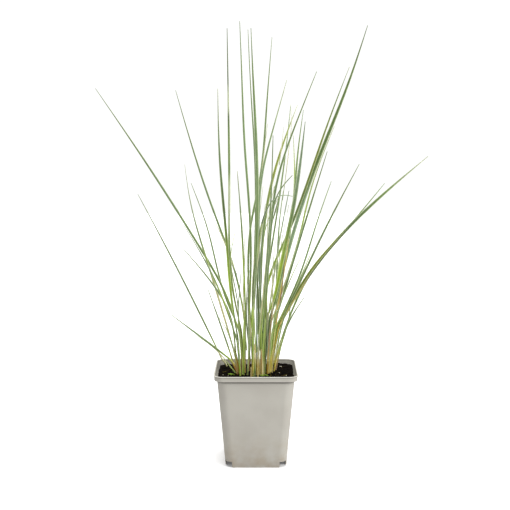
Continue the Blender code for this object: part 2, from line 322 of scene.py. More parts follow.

# %% [markdown]
# ## Pot plastic
# Nursery pots are thin injection-moulded polypropylene. The plastic is a warm pale grey with a
# low satin sheen, faint cloudy tone from the mould flow, and a finely pitted surface. Watering
# leaves brownish grime on the lowest part and fine soil specks. A painted shadow darkens the wall
# just under the band, painted shade darkens the groove under the lip, and a painted highlight makes
# the lip's top edge paler. All patterns read Object coordinates, so they keep their real size, and
# painted shade darkens the pot's inner faces.


# %% Helper: materials
def start_material(name, roughness):
    """A material with its Principled node and its Object coordinates."""
    material = bpy.data.materials.new(name)
    material.use_nodes = True
    tree = material.node_tree
    surface = tree.nodes["Principled BSDF"]
    surface.inputs["Roughness"].default_value = roughness
    place = wire(tree, "ShaderNodeTexCoord").outputs["Object"]
    return material, tree, surface, place


def bump(tree, surface, height, depth, strength=1.0, before=None):
    links = {"Height": height, "Distance": depth, "Strength": strength}
    if before is not None:
        links["Normal"] = before
    node = wire(tree, "ShaderNodeBump", links)
    tree.links.new(node.outputs["Normal"], surface.inputs["Normal"])
    return node.outputs["Normal"]


print("material helpers ready")

# %% Material: pot plastic
POT_TOP = pot_high[2]
LIP_HEIGHT = 1.2 * MM
BAND_HEIGHT = 5.8 * MM
BAND_BASE = POT_TOP - BAND_HEIGHT
GROOVE = POT_TOP - 1.25 * MM
SKIRT_DIRT = {"Dirt": rgb(156, 138, 112), "Amount": 0.6, "Low": 0.0, "High": 0.04}

pot_plastic, tree, surface, place = start_material("pot_plastic", 0.68)
pot_greys = {"Place": place, "Scale": 28.0, "Low": rgb(178, 174, 165), "High": rgb(184, 181, 172)}
tone = place_group(tree, mottle, pot_greys).outputs
specks = rescale(tree, soft_noise(tree, place, 900.0, 2.0), 0.70, 0.78, 0.0, 0.35)
speckled = mix_colour(tree, specks, tone["Color"], rgb(120, 100, 74))
footed = place_group(tree, grime, {"Place": place, "Color": speckled, **SKIRT_DIRT}).outputs["Color"]

height = wire(tree, "ShaderNodeSeparateXYZ", {0: place}).outputs["Z"]
# Painted shade: the pot's inner faces are darkened towards a dark grey.
inside = wire(tree, "ShaderNodeAttribute", attribute_name="inside").outputs["Fac"]
inner_shaded = mix_colour(tree, maths(tree, "MULTIPLY", inside, 0.6), footed, rgb(92, 88, 80))
# Painted shadow: the wall darkens towards the underside of the band.
near_band = rescale(tree, height, BAND_BASE - 3.8 * MM, BAND_BASE)
under_band = rescale(tree, height, BAND_BASE + 0.15 * MM, BAND_BASE + 0.3 * MM, 0.95, 0.0)
band_shadow = maths(tree, "MULTIPLY", maths(tree, "POWER", near_band, 1.8), under_band)
band_shadowed = mix_colour(tree, band_shadow, inner_shaded, rgb(48, 45, 40))
# Painted shade: a dark line in the groove just under the lip.
from_groove = maths(tree, "ABSOLUTE", maths(tree, "SUBTRACT", height, GROOVE))
groove_shade = rescale(tree, from_groove, 0.55 * MM, 0.15 * MM, 0.0, 0.55)
groove_shaded = mix_colour(tree, groove_shade, band_shadowed, rgb(96, 92, 84))
# Painted highlight: the outer top edge of the lip is made paler.
lip_top_zone = rescale(tree, height, POT_TOP - 0.7 * MM, POT_TOP - 0.2 * MM, 0.0, 0.3)
lip_highlight = maths(tree, "MULTIPLY", lip_top_zone, maths(tree, "SUBTRACT", 1.0, inside))
finish = {
    "Base Color": mix_colour(tree, lip_highlight, groove_shaded, rgb(214, 212, 206)),
    "Roughness": rescale(tree, tone["Mask"], 0.0, 1.0, 0.62, 0.75),
    "Specular IOR Level": 0.12,
}
fill(tree, surface, finish)
first = bump(tree, surface, soft_noise(tree, place, 22.0, 1.0), 0.6 * MM, 0.4)
bump(tree, surface, soft_noise(tree, place, 1400.0, 2.0), 0.06 * MM, 0.6, first)
print("material:", pot_plastic.name)

# %% [markdown]
# ## The pot
# The pot is one skin: up the outside, over the lip and down the inside to the floor. It could be
# cut from a block, but extruding one rounded square through the heights where the wall changes
# gives an even wall and clean corners. The edges between those heights are then bevelled, because
# moulded plastic has no sharp edge. Last, the corners of the skirt and the drain holes are cut.

# %% Pot sizes
LIP_WIDTH = pot_high[0] - pot_low[0]
MOUTH_WIDTH = LIP_WIDTH - 3.0 * MM
BAND_WIDTH = LIP_WIDTH - 1.4 * MM
BODY_TOP_WIDTH = 82.8 * MM
BASE_WIDTH = 65.4 * MM
WALL = 1.0 * MM
RIM_CORNER = 10.0 * MM
TOP_CORNER = 11.0 * MM
BASE_CORNER = 9.0 * MM
FLOOR_UNDERSIDE = 6.0 * MM
FLOOR_TOP = 7.2 * MM
CORNER_STEPS = 14
# The number of each ring below whose edges are softened, with the radius in millimetres.
EDGE_RADII = {1: 0.25, 2: 0.25, 3: 0.3, 4: 0.4, 5: 0.15, 6: 0.3, 7: 0.4, 8: 0.3, 9: 1.5, 10: 1.0}


def rounded_square(width, radius, z):
    """Points round a level square with round corners, anticlockwise."""
    inner = width / 2 - radius
    points = []
    for corner in range(4):
        middle = math.radians(45 + 90 * corner)
        centre = Vector((math.copysign(inner, math.cos(middle)), math.copysign(inner, math.sin(middle)), z))
        for step in range(CORNER_STEPS + 1):
            angle = math.radians(90 * corner + 90 * step / CORNER_STEPS)
            points.append(centre + radius * Vector((math.cos(angle), math.sin(angle), 0.0)))
    return points


def wall_ring(z, inset=0.0):
    """The tapering wall's outline at a height, or that outline moved in by an inset."""
    share = z / BAND_BASE
    width = BASE_WIDTH + share * (BODY_TOP_WIDTH - BASE_WIDTH)
    radius = BASE_CORNER + share * (TOP_CORNER - BASE_CORNER)
    return rounded_square(width - 2 * inset, radius - inset, z)


print("lip width in mm:", round(LIP_WIDTH / MM, 1))


# %% Extrude the pot through its rings
def extrude_through(bm, rings):
    """Extrude a face through a row of rings. Returns the vertices of each ring."""
    base = bm.faces.new([bm.verts.new(place) for place in rings[0]])
    rows = [list(base.verts)]
    face = base
    for ring in rings[1:]:
        made = bmesh.ops.extrude_face_region(bm, geom=[face])["geom"]
        if face is not base:
            bmesh.ops.delete(bm, geom=[face], context="FACES_ONLY")
        face = only(bmesh.types.BMFace, made)[0]
        for vert, place in zip(face.verts, ring):
            vert.co = place
        rows.append(list(face.verts))
    return rows


def only(kind, items):
    """The items of one kind in what an operator made."""
    return [item for item in items if isinstance(item, kind)]


def ring_edges(bm, row):
    """The edges that run round one ring."""
    return [bm.edges.get((row[i - 1], row[i])) for i in range(len(row))]


def pot_skin():
    lip_corner = RIM_CORNER + (LIP_WIDTH - BAND_WIDTH) / 2
    mouth_corner = lip_corner - (LIP_WIDTH - MOUTH_WIDTH) / 2
    lip_base = POT_TOP - LIP_HEIGHT
    rings = [
        wall_ring(FLOOR_UNDERSIDE, WALL),
        wall_ring(0.0, WALL),
        wall_ring(0.0),
        wall_ring(BAND_BASE),
        rounded_square(BAND_WIDTH - 0.4 * MM, RIM_CORNER, BAND_BASE),
        rounded_square(BAND_WIDTH, RIM_CORNER, lip_base),
        rounded_square(LIP_WIDTH, lip_corner, lip_base),
        rounded_square(LIP_WIDTH, lip_corner, POT_TOP),
        rounded_square(MOUTH_WIDTH, mouth_corner, POT_TOP),
        wall_ring(BAND_BASE, WALL),
        wall_ring(FLOOR_TOP, WALL),
    ]
    bm = bmesh.new()
    rows = extrude_through(bm, rings)
    loops = {index: ring_edges(bm, rows[index]) for index in EDGE_RADII}
    even = {"segments": 3, "profile": 0.5, "affect": "EDGES", "material": -1}
    for index, radius in EDGE_RADII.items():
        bmesh.ops.bevel(bm, geom=loops[index], offset=radius * MM, **even)
    bmesh.ops.recalc_face_normals(bm, faces=bm.faces)
    return bm


print("pot skin helper ready")

# %% [markdown]
# ## Notches and drain holes
# At each corner the skirt is cut away, so that water runs out when the pot stands on a flat tray.
# The flaps that are left get slightly slanted sides and round lower corners. Two prisms a corner
# make that cut, one for each wall, and plain round bars make the drain holes.

# %% Cutters for the corners of the skirt and the drain holes
NOTCH_TOP = 6.3 * MM
FLAP_HALF_TOP = 25.4 * MM
FLAP_HALF_BASE = 23.9 * MM
FLAP_CORNER = 2.3 * MM
PRISM_REACH = 14.0 * MM
PRISM_BASE = -2.0 * MM
DRAIN_RADIUS = 3.5 * MM
DRAIN_PLACE = 18.0 * MM


def notch_prism(sign_x, sign_y, swap):
    """A prism with the notch's outline in x and z, standing behind the flap's corner in y."""
    outline = [(FLAP_HALF_TOP + PRISM_REACH, NOTCH_TOP), (FLAP_HALF_TOP, NOTCH_TOP)]
    for step in range(6):
        angle = math.radians(90 * step / 5)
        across = FLAP_HALF_BASE - FLAP_CORNER * (1 - math.cos(angle))
        outline.append((across, FLAP_CORNER * (1 - math.sin(angle))))
    outline.append((FLAP_HALF_BASE - FLAP_CORNER, PRISM_BASE))
    outline.append((FLAP_HALF_TOP + PRISM_REACH, PRISM_BASE))
    bm = bmesh.new()
    face = bm.faces.new([bm.verts.new((x, FLAP_HALF_TOP, z)) for x, z in outline])
    made = bmesh.ops.extrude_face_region(bm, geom=[face])["geom"]
    bmesh.ops.translate(bm, vec=(0.0, PRISM_REACH, 0.0), verts=only(bmesh.types.BMVert, made))
    for vert in bm.verts:
        x, y, z = vert.co
        vert.co = (sign_x * y, sign_y * x, z) if swap else (sign_x * x, sign_y * y, z)
    bmesh.ops.recalc_face_normals(bm, faces=bm.faces)
    return bm


def drain_bar(sign_x, sign_y):
    bm = bmesh.new()
    size = {"radius1": DRAIN_RADIUS, "radius2": DRAIN_RADIUS, "depth": 4.0 * MM}
    bmesh.ops.create_cone(bm, cap_ends=True, segments=24, **size)
    place = (sign_x * DRAIN_PLACE, sign_y * DRAIN_PLACE, (FLOOR_UNDERSIDE + FLOOR_TOP) / 2)
    bmesh.ops.translate(bm, vec=place, verts=bm.verts)
    return bm


def cut_away(bm, cutters):
    """Cut a row of closed meshes out of a bmesh with Boolean modifiers. Returns the new bmesh."""
    body = add_object("cut_body", as_mesh("cut_body", bm))
    helpers = [body]
    for number, cutter in enumerate(cutters):
        tool = add_object(f"cutter_{number}", as_mesh(f"cutter_{number}", cutter))
        helpers.append(tool)
        boolean = body.modifiers.new(tool.name, "BOOLEAN")
        boolean.operation = "DIFFERENCE"
        boolean.object = tool
    graph = bpy.context.evaluated_depsgraph_get()
    finished = bpy.data.meshes.new_from_object(body.evaluated_get(graph))
    result_bm = bmesh.new()
    result_bm.from_mesh(finished)
    for helper in helpers:
        bpy.data.objects.remove(helper)
    return result_bm


print("cutting helpers ready")

# %% Build the pot
corners = [(1, 1), (-1, 1), (-1, -1), (1, -1)]
cutters = [notch_prism(*signs, swap) for signs in corners for swap in (False, True)]
cutters += [drain_bar(*signs) for signs in corners]
pot_bm = cut_away(pot_skin(), cutters)
pot_piece = make_piece("nursery_pot", pot_bm, pot_plastic, ["pot"], 35)
# The inner faces are marked here for the painted shade of the pot plastic.
inside = pot_piece.data.attributes.new("inside", "FLOAT", "FACE")
for face, item in zip(pot_piece.data.polygons, inside.data):
    outward = Vector((face.center.x, face.center.y, 0.0)).normalized()
    item.value = 1.0 if face.normal.dot(outward) < -0.3 else 0.0
even_shading = pot_piece.modifiers.new("even_shading", "WEIGHTED_NORMAL")
even_shading.keep_sharp = True
print("pot faces:", len(pot_piece.data.polygons))

# %% [markdown]
# ## Peat
# Peat is nearly black when it is moist, with reddish-brown fibres and lighter flecks in it. It is
# dull, so its look comes from small shadows: one bump with fine detail makes the lumps and grain.


# %% Material: peat
def soil_material(name, dark, light, fleck, scale):
    """Moist, crumbly matter: a dark mottle with small flecks and a bumpy grain."""
    material, tree, surface, place = start_material(name, 0.92)
    base = place_group(tree, mottle, {"Place": place, "Scale": scale, "Low": dark, "High": light})
    bits = wire(tree, "ShaderNodeTexVoronoi", {"Vector": place, "Scale": 6.0 * scale})
    few = rescale(tree, bits.outputs["Distance"], 0.05, 0.16, 1.0, 0.0)
    sparse = rescale(tree, soft_noise(tree, place, 2.2 * scale, 1.0), 0.56, 0.64)
    mask = maths(tree, "MULTIPLY", few, sparse)
    lumps = soft_noise(tree, place, 2.0 * scale, 6.0)
    finish = {
        "Base Color": mix_colour(tree, mask, base.outputs["Color"], fleck),
        "Roughness": rescale(tree, lumps, 0.3, 0.7, 0.80, 0.98),
        "Specular IOR Level": 0.02,
    }
    fill(tree, surface, finish)
    bump(tree, surface, lumps, 1.2 * MM)
    return material


peat = soil_material("peat", rgb(7, 5, 4), rgb(22, 17, 13), rgb(110, 92, 50), 260.0)
print("material:", peat.name)

# %% [markdown]
# ## The soil surface
# The peat is a block that fills the pot, and only its top shows. A fine grid is bent to the pot's
# rounded outline and lifted by noise at three sizes: settled humps, lumps, and crumbs. Its border
# is then extruded down to the pot's floor and closed, so that the piece is a solid body.

# %% Soil heights
soil_low, soil_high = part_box("potting_soil")
SOIL_LEVEL = soil_high[2]
SOIL_HALF = soil_high[0] + 0.25 * MM
SOIL_CORNER = TOP_CORNER - WALL
HUMPS = [  # place x and y, radius and height
    (-27 * MM, 6 * MM, 13 * MM, 1.4 * MM),
    (30 * MM, 32 * MM, 18 * MM, 2.6 * MM),
    (2 * MM, 34 * MM, 14 * MM, 1.2 * MM),
    (-32 * MM, 36 * MM, 12 * MM, 0.8 * MM),
]


def soil_height(x, y):
    """The height of the peat at a place."""
    height = SOIL_LEVEL - 0.9 * MM
    to_wall = max(0.0, max(abs(x), abs(y)) / SOIL_HALF - 0.72) / 0.28
    height += to_wall * to_wall * (2.6 * MM if y < 0 else 2.6 * MM - 0.035 * y)
    for centre_x, centre_y, radius, lift in HUMPS:
        share = math.hypot(x - centre_x, y - centre_y) / radius
        height += lift * math.exp(-share * share)
    for size, depth in ((11 * MM, 1.3 * MM), (4 * MM, 0.9 * MM), (1.4 * MM, 0.45 * MM)):
        height += depth * noise.noise(Vector((x / size, y / size, depth / MM)))
    return height


def onto_outline(u, v):
    """Bend a place in the unit square to the pot's rounded outline."""
    x, y = u * SOIL_HALF, v * SOIL_HALF
    straight = SOIL_HALF - SOIL_CORNER
    past_x, past_y = abs(x) - straight, abs(y) - straight
    if past_x > 0 and past_y > 0:
        reach = max(past_x, past_y) / math.hypot(past_x, past_y)
        x = math.copysign(straight + past_x * reach, x)
        y = math.copysign(straight + past_y * reach, y)
    return x, y


soil = bmesh.new()
bmesh.ops.create_grid(soil, x_segments=120, y_segments=120, size=1.0)
for vert in soil.verts:
    x, y = onto_outline(vert.co.x, vert.co.y)
    z = soil_height(x, y)
    flare = 1 + 0.53 * max(0.0, z - BAND_BASE) / SOIL_HALF
    vert.co = (x * flare, y * flare, z)
border = [edge for edge in soil.edges if edge.is_boundary]
made = bmesh.ops.extrude_edge_only(soil, edges=border)["geom"]
taper = (BASE_WIDTH / 2 - WALL) / (BODY_TOP_WIDTH / 2 - WALL)
for vert in only(bmesh.types.BMVert, made):
    vert.co = (vert.co.x * taper, vert.co.y * taper, soil_low[2])
bmesh.ops.contextual_create(soil, geom=only(bmesh.types.BMEdge, made))
bmesh.ops.recalc_face_normals(soil, faces=soil.faces)
soil_piece = make_piece("peat_block", soil, peat, ["potting_soil"], 60)
print("soil faces:", len(soil_piece.data.polygons))

# %% [markdown]
# ## Crumbs, fibres and grains
# Loose peat is full of small things: round crumbs, brown plant fibres, and a few pale mineral
# grains. Each kind is made of one small shape that is repeated with a chance size and turn. The
# shapes have only a few dozen faces, so hundreds of them stay light.


# %% Scatter small pieces on the soil
def soil_spot(margin=3 * MM):
    """A chance place on the soil."""
    reach = 1 - margin / SOIL_HALF
    return onto_outline(chance.uniform(-reach, reach), chance.uniform(-reach, reach))


def add_lump(bm, place, size, rough):
    """A small irregular ball."""
    made = bmesh.ops.create_icosphere(bm, subdivisions=1, radius=1.0)["verts"]
    shift = Vector((chance.uniform(0, 50), chance.uniform(0, 50), 0))
    squash = Vector((chance.uniform(0.8, 1.3), chance.uniform(0.7, 1.1), chance.uniform(0.5, 0.9)))
    for vert in made:
        reach = 1 + rough * noise.noise(1.7 * vert.co + shift)
        vert.co = Vector(place) + size * reach * vert.co * squash
    return made


crumbs = bmesh.new()
for _ in range(420):
    x, y = soil_spot()
    size = chance.choice((0.35, 0.5, 0.5, 0.8, 1.2)) * MM
    add_lump(crumbs, (x, y, soil_height(x, y) + 0.2 * size), size, 0.7)
crumb_material = soil_material("peat_crumbs", rgb(9, 7, 5), rgb(34, 26, 19), rgb(128, 108, 56), 420.0)
make_piece("peat_crumbs", crumbs, crumb_material, (), 30)
print("crumbs made")


# %% Fibres
def add_strip(bm, path, widths, side):
    """A thin bent strip, four-sided, from a row of places."""
    rings = []
    for index, (place, width) in enumerate(zip(path, widths)):
        ahead = path[min(index + 1, len(path) - 1)] - path[max(index - 1, 0)]
        across = ahead.cross(side).normalized()
        up = across.cross(ahead).normalized()
        rings.append([place + width * way for way in (across, up, -across, -up)])
    extrude_through(bm, rings)


fibres = bmesh.new()
for _ in range(70):
    x, y = soil_spot(5 * MM)
    heading = chance.uniform(0, 2 * math.pi)
    bend = chance.uniform(-0.5, 0.5)
    length = chance.uniform(2.5, 8.0) * MM
    path = []
    for step in range(7):
        heading += bend / 6 * 2
        x += math.cos(heading) * length / 6
        y += math.sin(heading) * length / 6
        x = max(-SOIL_HALF + 3 * MM, min(SOIL_HALF - 3 * MM, x))
        y = max(-SOIL_HALF + 3 * MM, min(SOIL_HALF - 3 * MM, y))
        path.append(Vector((x, y, soil_height(x, y) + chance.uniform(0.1, 0.5) * MM)))
    thickness = chance.uniform(0.09, 0.2) * MM
    add_strip(fibres, path, [thickness * (1 - 0.5 * step / 6) for step in range(7)], Vector((0, 0, 1)))
bmesh.ops.recalc_face_normals(fibres, faces=fibres.faces)
FIBRE_TONES = (rgb(62, 46, 26), rgb(132, 118, 54), rgb(168, 160, 84))
fibre_material = soil_material("peat_fibres", *FIBRE_TONES, 300.0)
make_piece("peat_fibres", fibres, fibre_material, (), 60)
print("fibres made")

# %% Pale grains
grains = bmesh.new()
GRAINS = [  # place x and y, and radius, in millimetres
    (28, 27, 1.5),
    (27, -8, 0.6),
    (33, -12, 0.6),
    (-36, -6, 0.7),
    (26, 6, 0.55),
    (-30, -15, 0.5),
    (14, -20, 0.5),
]
for x, y, size in GRAINS:
    height = soil_height(x * MM, y * MM)
    add_lump(grains, (x * MM, y * MM, height + 0.3 * size * MM), size * MM, 0.6)
GRAIN_TONES = (rgb(176, 168, 140), rgb(226, 222, 206), rgb(240, 238, 230))
grain_material = soil_material("pale_grains", *GRAIN_TONES, 500.0)
make_piece("pale_grains", grains, grain_material, (), 30)
print("grains:", len(GRAINS))

# %% [markdown]
# ## Moss
# Bright moss has settled at the foot of the grass. Up close it is a crowd of tiny pointed leaves
# that fan out from a low cushion. Each leaf here is a slim four-sided cone, and the cushion's
# solid gives the area that they cover.

# %% Material and tufts of moss
moss_green, tree, surface, place = start_material("moss_green", 0.7)
moss_greens = {"Place": place, "Scale": 700.0, "Low": rgb(92, 128, 20), "High": rgb(176, 206, 66)}
fresh = place_group(tree, mottle, moss_greens).outputs["Color"]
fill(tree, surface, {"Base Color": fresh, "Sheen Weight": 0.2})


def moss_tuft(node, count):
    """Small pointed leaves that fan out over the place of one cushion."""
    low, high = (Vector(corner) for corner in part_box(node))
    middle = (low + high) / 2
    half = (high - low) / 2
    bm = bmesh.new()
    for _ in range(count):
        angle = chance.uniform(0, 2 * math.pi)
        reach = math.sqrt(chance.random())
        spot = Vector((math.cos(angle) * reach * half.x, math.sin(angle) * reach * half.y, 0))
        dome = math.sqrt(max(0.0, 1 - reach * reach))
        lean = Vector((0.9 * spot.x / half.x, 0.9 * spot.y / half.y, 0.5 + dome))
        lean += Vector((chance.uniform(-0.4, 0.4), chance.uniform(-0.4, 0.4), 0))
        length = chance.uniform(0.7, 1.5) * MM
        size = {"radius1": 0.24 * MM, "radius2": 0.02 * MM, "depth": length}
        made = bmesh.ops.create_cone(bm, cap_ends=True, segments=4, **size)["verts"]
        turn = lean.to_track_quat("Z", "Y")
        ground = soil_height(middle.x + spot.x, middle.y + spot.y)
        foot = Vector((middle.x + spot.x, middle.y + spot.y, ground + 0.75 * dome * half.z))
        for vert in made:
            vert.co = foot + turn @ (vert.co + Vector((0, 0, 0.4 * length)))
    return bm


for node in ("moss_left", "moss_front"):
    make_piece(node + "_tuft", moss_tuft(node, 420), moss_green, [node], 30)
print("moss made")

# %% [markdown]
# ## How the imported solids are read
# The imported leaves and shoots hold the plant's pose. Each leaf solid is a row of four-sided rings
# that ends in a point. Walking from the point from neighbour to neighbour meets the rings one by
# one, and each ring gives a place on the blade's midline, its width and the way it faces.


# %% Read the leaves and shoots
def welded(node):
    bm = bmesh.new()
    bm.from_mesh(frame["nodes"][node].data)
    bmesh.ops.remove_doubles(bm, verts=bm.verts, dist=0.002 * MM)
    return bm


def rows_from(vert):
    """Layers of neighbours, beginning with one vertex."""
    seen, layer, rows = {vert}, [vert], []
    while layer:
        rows.append(layer)
        following = []
        for item in layer:
            for edge in item.link_edges:
                other = edge.other_vert(item)
                if other not in seen:
                    seen.add(other)
                    following.append(other)
        layer = following
    return rows


def leaf_rings(node):
    """The rings of a leaf's solid from its base to its tip. Only the tip sees four at every step."""
    bm = welded(node)
    for vert in bm.verts:
        rows = rows_from(vert)
        if all(len(row) == 4 for row in rows[1:]):
            rings = [[item.co.copy() for item in row] for row in reversed(rows)]
    bm.free()
    return rings


BROADER = 1.15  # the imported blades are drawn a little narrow


def leaf_pose(node):
    """Midline places, directions across and widths of a leaf, from its base to its tip."""
    *rings, tip = leaf_rings(node)
    places, acrosses, widths = [], [], []
    for ring in rings:
        widest = max(((a - b) for a in ring for b in ring), key=lambda span: span.length)
        if widest.dot(acrosses[-1] if acrosses else Vector((1, 0.2, 0.1))) < 0:
            widest = -widest
        places.append(sum(ring, Vector()) / 4)
        acrosses.append((widest * Vector((1.0, 0.5, 1.0))).normalized())
        widths.append(max(BROADER * widest.length, 1.1 * MM))
    return [*places, tip[0]], [*acrosses, acrosses[-1]], [*widths, 0.6 * MM]


def shoot_pose(node):
    """Centres and radii of a shoot's level rings, from its foot to its collar."""
    bm = welded(node)
    levels = sorted({round(vert.co.z / MM, 2) for vert in bm.verts})
    rings = []
    for level in levels:
        ring = [vert.co.copy() for vert in bm.verts if abs(vert.co.z / MM - level) < 0.05]
        centre = sum(ring, Vector()) / len(ring)
        rings.append((centre, max((place - centre).length for place in ring)))
    bm.free()
    return rings


print("reading helpers ready")

# %% All poses
leaf_nodes = sorted(name for name in frame["nodes"] if name.startswith("leaf_"))
shoot_nodes = sorted(name for name in frame["nodes"] if name.startswith("shoot_"))
leaf_poses = {name: leaf_pose(name) for name in leaf_nodes}
shoot_poses = {name: shoot_pose(name) for name in shoot_nodes}
print("leaf rings:", {len(pose[0]) for pose in leaf_poses.values()})
print("shoot rings:", {len(pose) for pose in shoot_poses.values()})

# %% [markdown]
# ## A smooth row of values
# The rings are a few centimetres apart, so a finished blade needs rows in between. A Hermite curve
# through the known rows bends evenly and passes exactly through each of them. The same curve
# carries the place, the direction across, the curl and the width.


# %% Helper: smooth interpolation
def smooth_through(values, lengths, wanted):
    """Rows of values at the wanted lengths, on a smooth curve through the known rows."""
    values = np.array(values, float)
    slopes = np.gradient(values, lengths, axis=0)
    index = np.clip(np.searchsorted(lengths, wanted) - 1, 0, len(lengths) - 2)
    step = (lengths[index + 1] - lengths[index])[:, None]
    share = (wanted - lengths[index])[:, None] / step
    blend = share * share * (3 - 2 * share)
    curve = (1 - blend) * values[index] + blend * values[index + 1]
    start = share * (1 - share) ** 2 * step * slopes[index]
    end = share * share * (share - 1) * step * slopes[index + 1]
    return curve + start + end


def run_lengths(places):
    """The length along a row of places, from zero."""
    steps = np.linalg.norm(np.diff(np.array(places), axis=0), axis=1)
    return np.concatenate([[0.0], np.cumsum(steps)])


print("halfway on a bend:", smooth_through([[0.0], [1.0], [4.0]], np.array([0.0, 1.0, 2.0]), np.array([0.5])))

# %% [markdown]
# ## Colours of a blade
# Grass colours change along each blade. The foot is straw to orange where the green has faded, the
# middle is fresh green with a grey bloom, and the tip dries first. Each leaf gets a short row of
# named colours with the share of its length where each one sits.

# %% Named colours and the leaves that differ
TONES = {
    "dark": rgb(80, 112, 50),
    "green": rgb(120, 151, 84),
    "grey": rgb(134, 163, 116),
    "bloom": rgb(143, 169, 142),
    "lime": rgb(168, 200, 50),
    "fresh": rgb(182, 208, 96),
    "olive": rgb(136, 150, 46),
    "straw": rgb(236, 228, 176),
    "pale": rgb(212, 220, 190),
    "gold": rgb(238, 212, 74),
    "tan": rgb(236, 200, 90),
    "orange": rgb(234, 164, 60),
    "brown": rgb(140, 94, 50),
    "rust": rgb(176, 116, 74),
    "slate": rgb(88, 114, 76),
}


def stops(words):
    """Named colours, each with the percentage of the length where it sits."""
    pairs = [item.split() for item in words.split(", ")]
    return [(name, int(percent) / 100) for name, percent in pairs]


USUAL = stops("fresh 0, green 15, grey 55, green 85, grey 100")
LEAF_TONES = {
    "leaf_03": stops("lime 0, straw 12, straw 30, fresh 42, grey 60, pale 100"),
    "leaf_05": stops("green 0, fresh 30, bloom 60, green 100"),
    "leaf_06": stops("green 0, lime 20, dark 50, grey 80, pale 100"),
    "leaf_09": stops(
        "olive 0, green 25, pale 40, pale 46, green 52, green 66, "
        "slate 70, pale 74, pale 79, slate 82, slate 100"
    ),
    "leaf_11": stops("lime 0, lime 30, green 55, grey 80, pale 100"),
    "leaf_17": stops("bloom 0, bloom 30, grey 70, pale 100"),
    "leaf_18": stops("bloom 0, grey 30, olive 60, olive 85, pale 100"),
    "leaf_21": stops("green 0, bloom 30, dark 50, bloom 80, bloom 100"),
    "leaf_22": stops("green 0, fresh 20, dark 40, olive 70, green 90, pale 100"),
    "leaf_26": stops("lime 0, lime 25, green 50, bloom 75, bloom 100"),
    "leaf_27": stops("bloom 0, bloom 50, bloom 100"),
    "leaf_28": stops("bloom 0, bloom 50, fresh 80, pale 100"),
    "leaf_29": stops("green 0, bloom 30, dark 50, dark 80, slate 100"),
    "leaf_30": stops("straw 0, pale 30, fresh 50, pale 100"),
    "leaf_36": stops("tan 0, olive 25, olive 80, green 100"),
    "leaf_37": stops("lime 0, tan 12, slate 25, slate 50, green 75, pale 100"),
}
print("leaves with their own colours:", len(LEAF_TONES))

# %% [markdown]
# ## Blade material
# The blade's along-the-leaf colour comes in as an attribute, because every leaf has its own. The
# material adds what all blades share: fine ribs, a dark line along the keel, pale margins, cloudy
# bloom and a few dry flecks. Thin blades are smooth and slightly waxy, so the roughness is medium.


# %% Material: blades and sheaths
VEINS = 4.0


def blade_material(name, rib_depth, flecks, roughness, contrast):
    """A ribbed leaf skin. Contrast is how light the furrows stay beside the ridges."""
    material, tree, surface, place = start_material(name, roughness)
    tint = wire(tree, "ShaderNodeAttribute", attribute_name="tint").outputs["Color"]
    flat = wire(tree, "ShaderNodeUVMap", uv_map="blade").outputs["UV"]
    across = wire(tree, "ShaderNodeSeparateXYZ", {0: flat}).outputs["X"]
    veins = place_group(tree, ribs, {"Across": across, "Count": VEINS, "Place": place}).outputs
    furrow = mix_colour(tree, 1.0, tint, (contrast, contrast, contrast * 0.92, 1.0), "MULTIPLY")
    ridge = mix_colour(tree, 0.2, tint, rgb(232, 236, 180))
    striped = mix_colour(tree, veins["Line"], furrow, ridge)
    off_centre = maths(tree, "ABSOLUTE", maths(tree, "SUBTRACT", across, 0.5))
    margin = mix_colour(tree, 0.6, tint, rgb(240, 241, 206))
    edged = mix_colour(tree, rescale(tree, off_centre, 0.28, 0.42, 0.0, 0.8), striped, margin)
    keel = mix_colour(tree, 1.0, tint, (0.5, 0.58, 0.4, 1.0), "MULTIPLY")
    keeled = mix_colour(tree, rescale(tree, off_centre, 0.18, 0.05, 0.0, 0.6), edged, keel)
    stretch = wire(tree, "ShaderNodeMapping", {"Vector": place, "Scale": (1.0, 1.0, 0.16)}).outputs["Vector"]
    streaks = soft_noise(tree, stretch, 420.0, 4.0)
    dusk = mix_colour(tree, 0.55, keeled, rgb(74, 90, 58), "MULTIPLY")
    clouded = mix_colour(tree, rescale(tree, streaks, 0.62, 0.38, 0.0, 0.3), keeled, dusk)
    dots = rescale(tree, soft_noise(tree, stretch, 900.0, 2.0), 0.66, 0.74, 0.0, flecks)
    dried = mix_colour(tree, dots, clouded, rgb(196, 160, 96))
    fill(tree, surface, {"Base Color": dried, "Specular IOR Level": 0.3})
    first = bump(tree, surface, veins["Height"], rib_depth)
    bump(tree, surface, streaks, 0.08 * MM, 0.5, first)
    return material


green_blade = blade_material("green_blade", 0.08 * MM, 0.25, 0.5, 0.78)
dry_blade = blade_material("dry_blade", 0.10 * MM, 0.7, 0.75, 0.66)
sheath_skin = blade_material("sheath_skin", 0.12 * MM, 0.35, 0.6, 0.74)
print("blade materials ready")

# %% [markdown]
# ## Shoots
# A shoot is a round bundle of leaf bases, one inside the other. It can be turned, but it leans, so
# a ring is extruded along the shoot instead. Here the shoot is only its slim core, because each
# leaf below brings a stem of its own. It starts a little under the peat. The foot is tan to
# orange, and the green comes in with height, which is set as the tint of each ring.


# %% Helper: tints
def tone_at(stops, share):
    """The mix of the two named colours on either side of a share of the length."""
    shares = [stop[1] for stop in stops]
    colours = np.array([TONES[stop[0]] for stop in stops])
    return [float(np.interp(share, shares, colours[:, channel])) for channel in range(4)]


FOOT_TONES = ["gold", "tan", "lime", "gold", "orange", "tan", "straw", "gold", "rust"]


def foot_mix(colour, height, foot, reach):
    """Blend a leaf colour to the faded colour of its foot, near the peat."""
    share = min(1.0, max(0.0, (height - 6 * MM) / reach))
    share = share * share * (3 - 2 * share)
    low = TONES[foot]
    return [low[channel] * (1 - share) + colour[channel] * share for channel in range(4)]


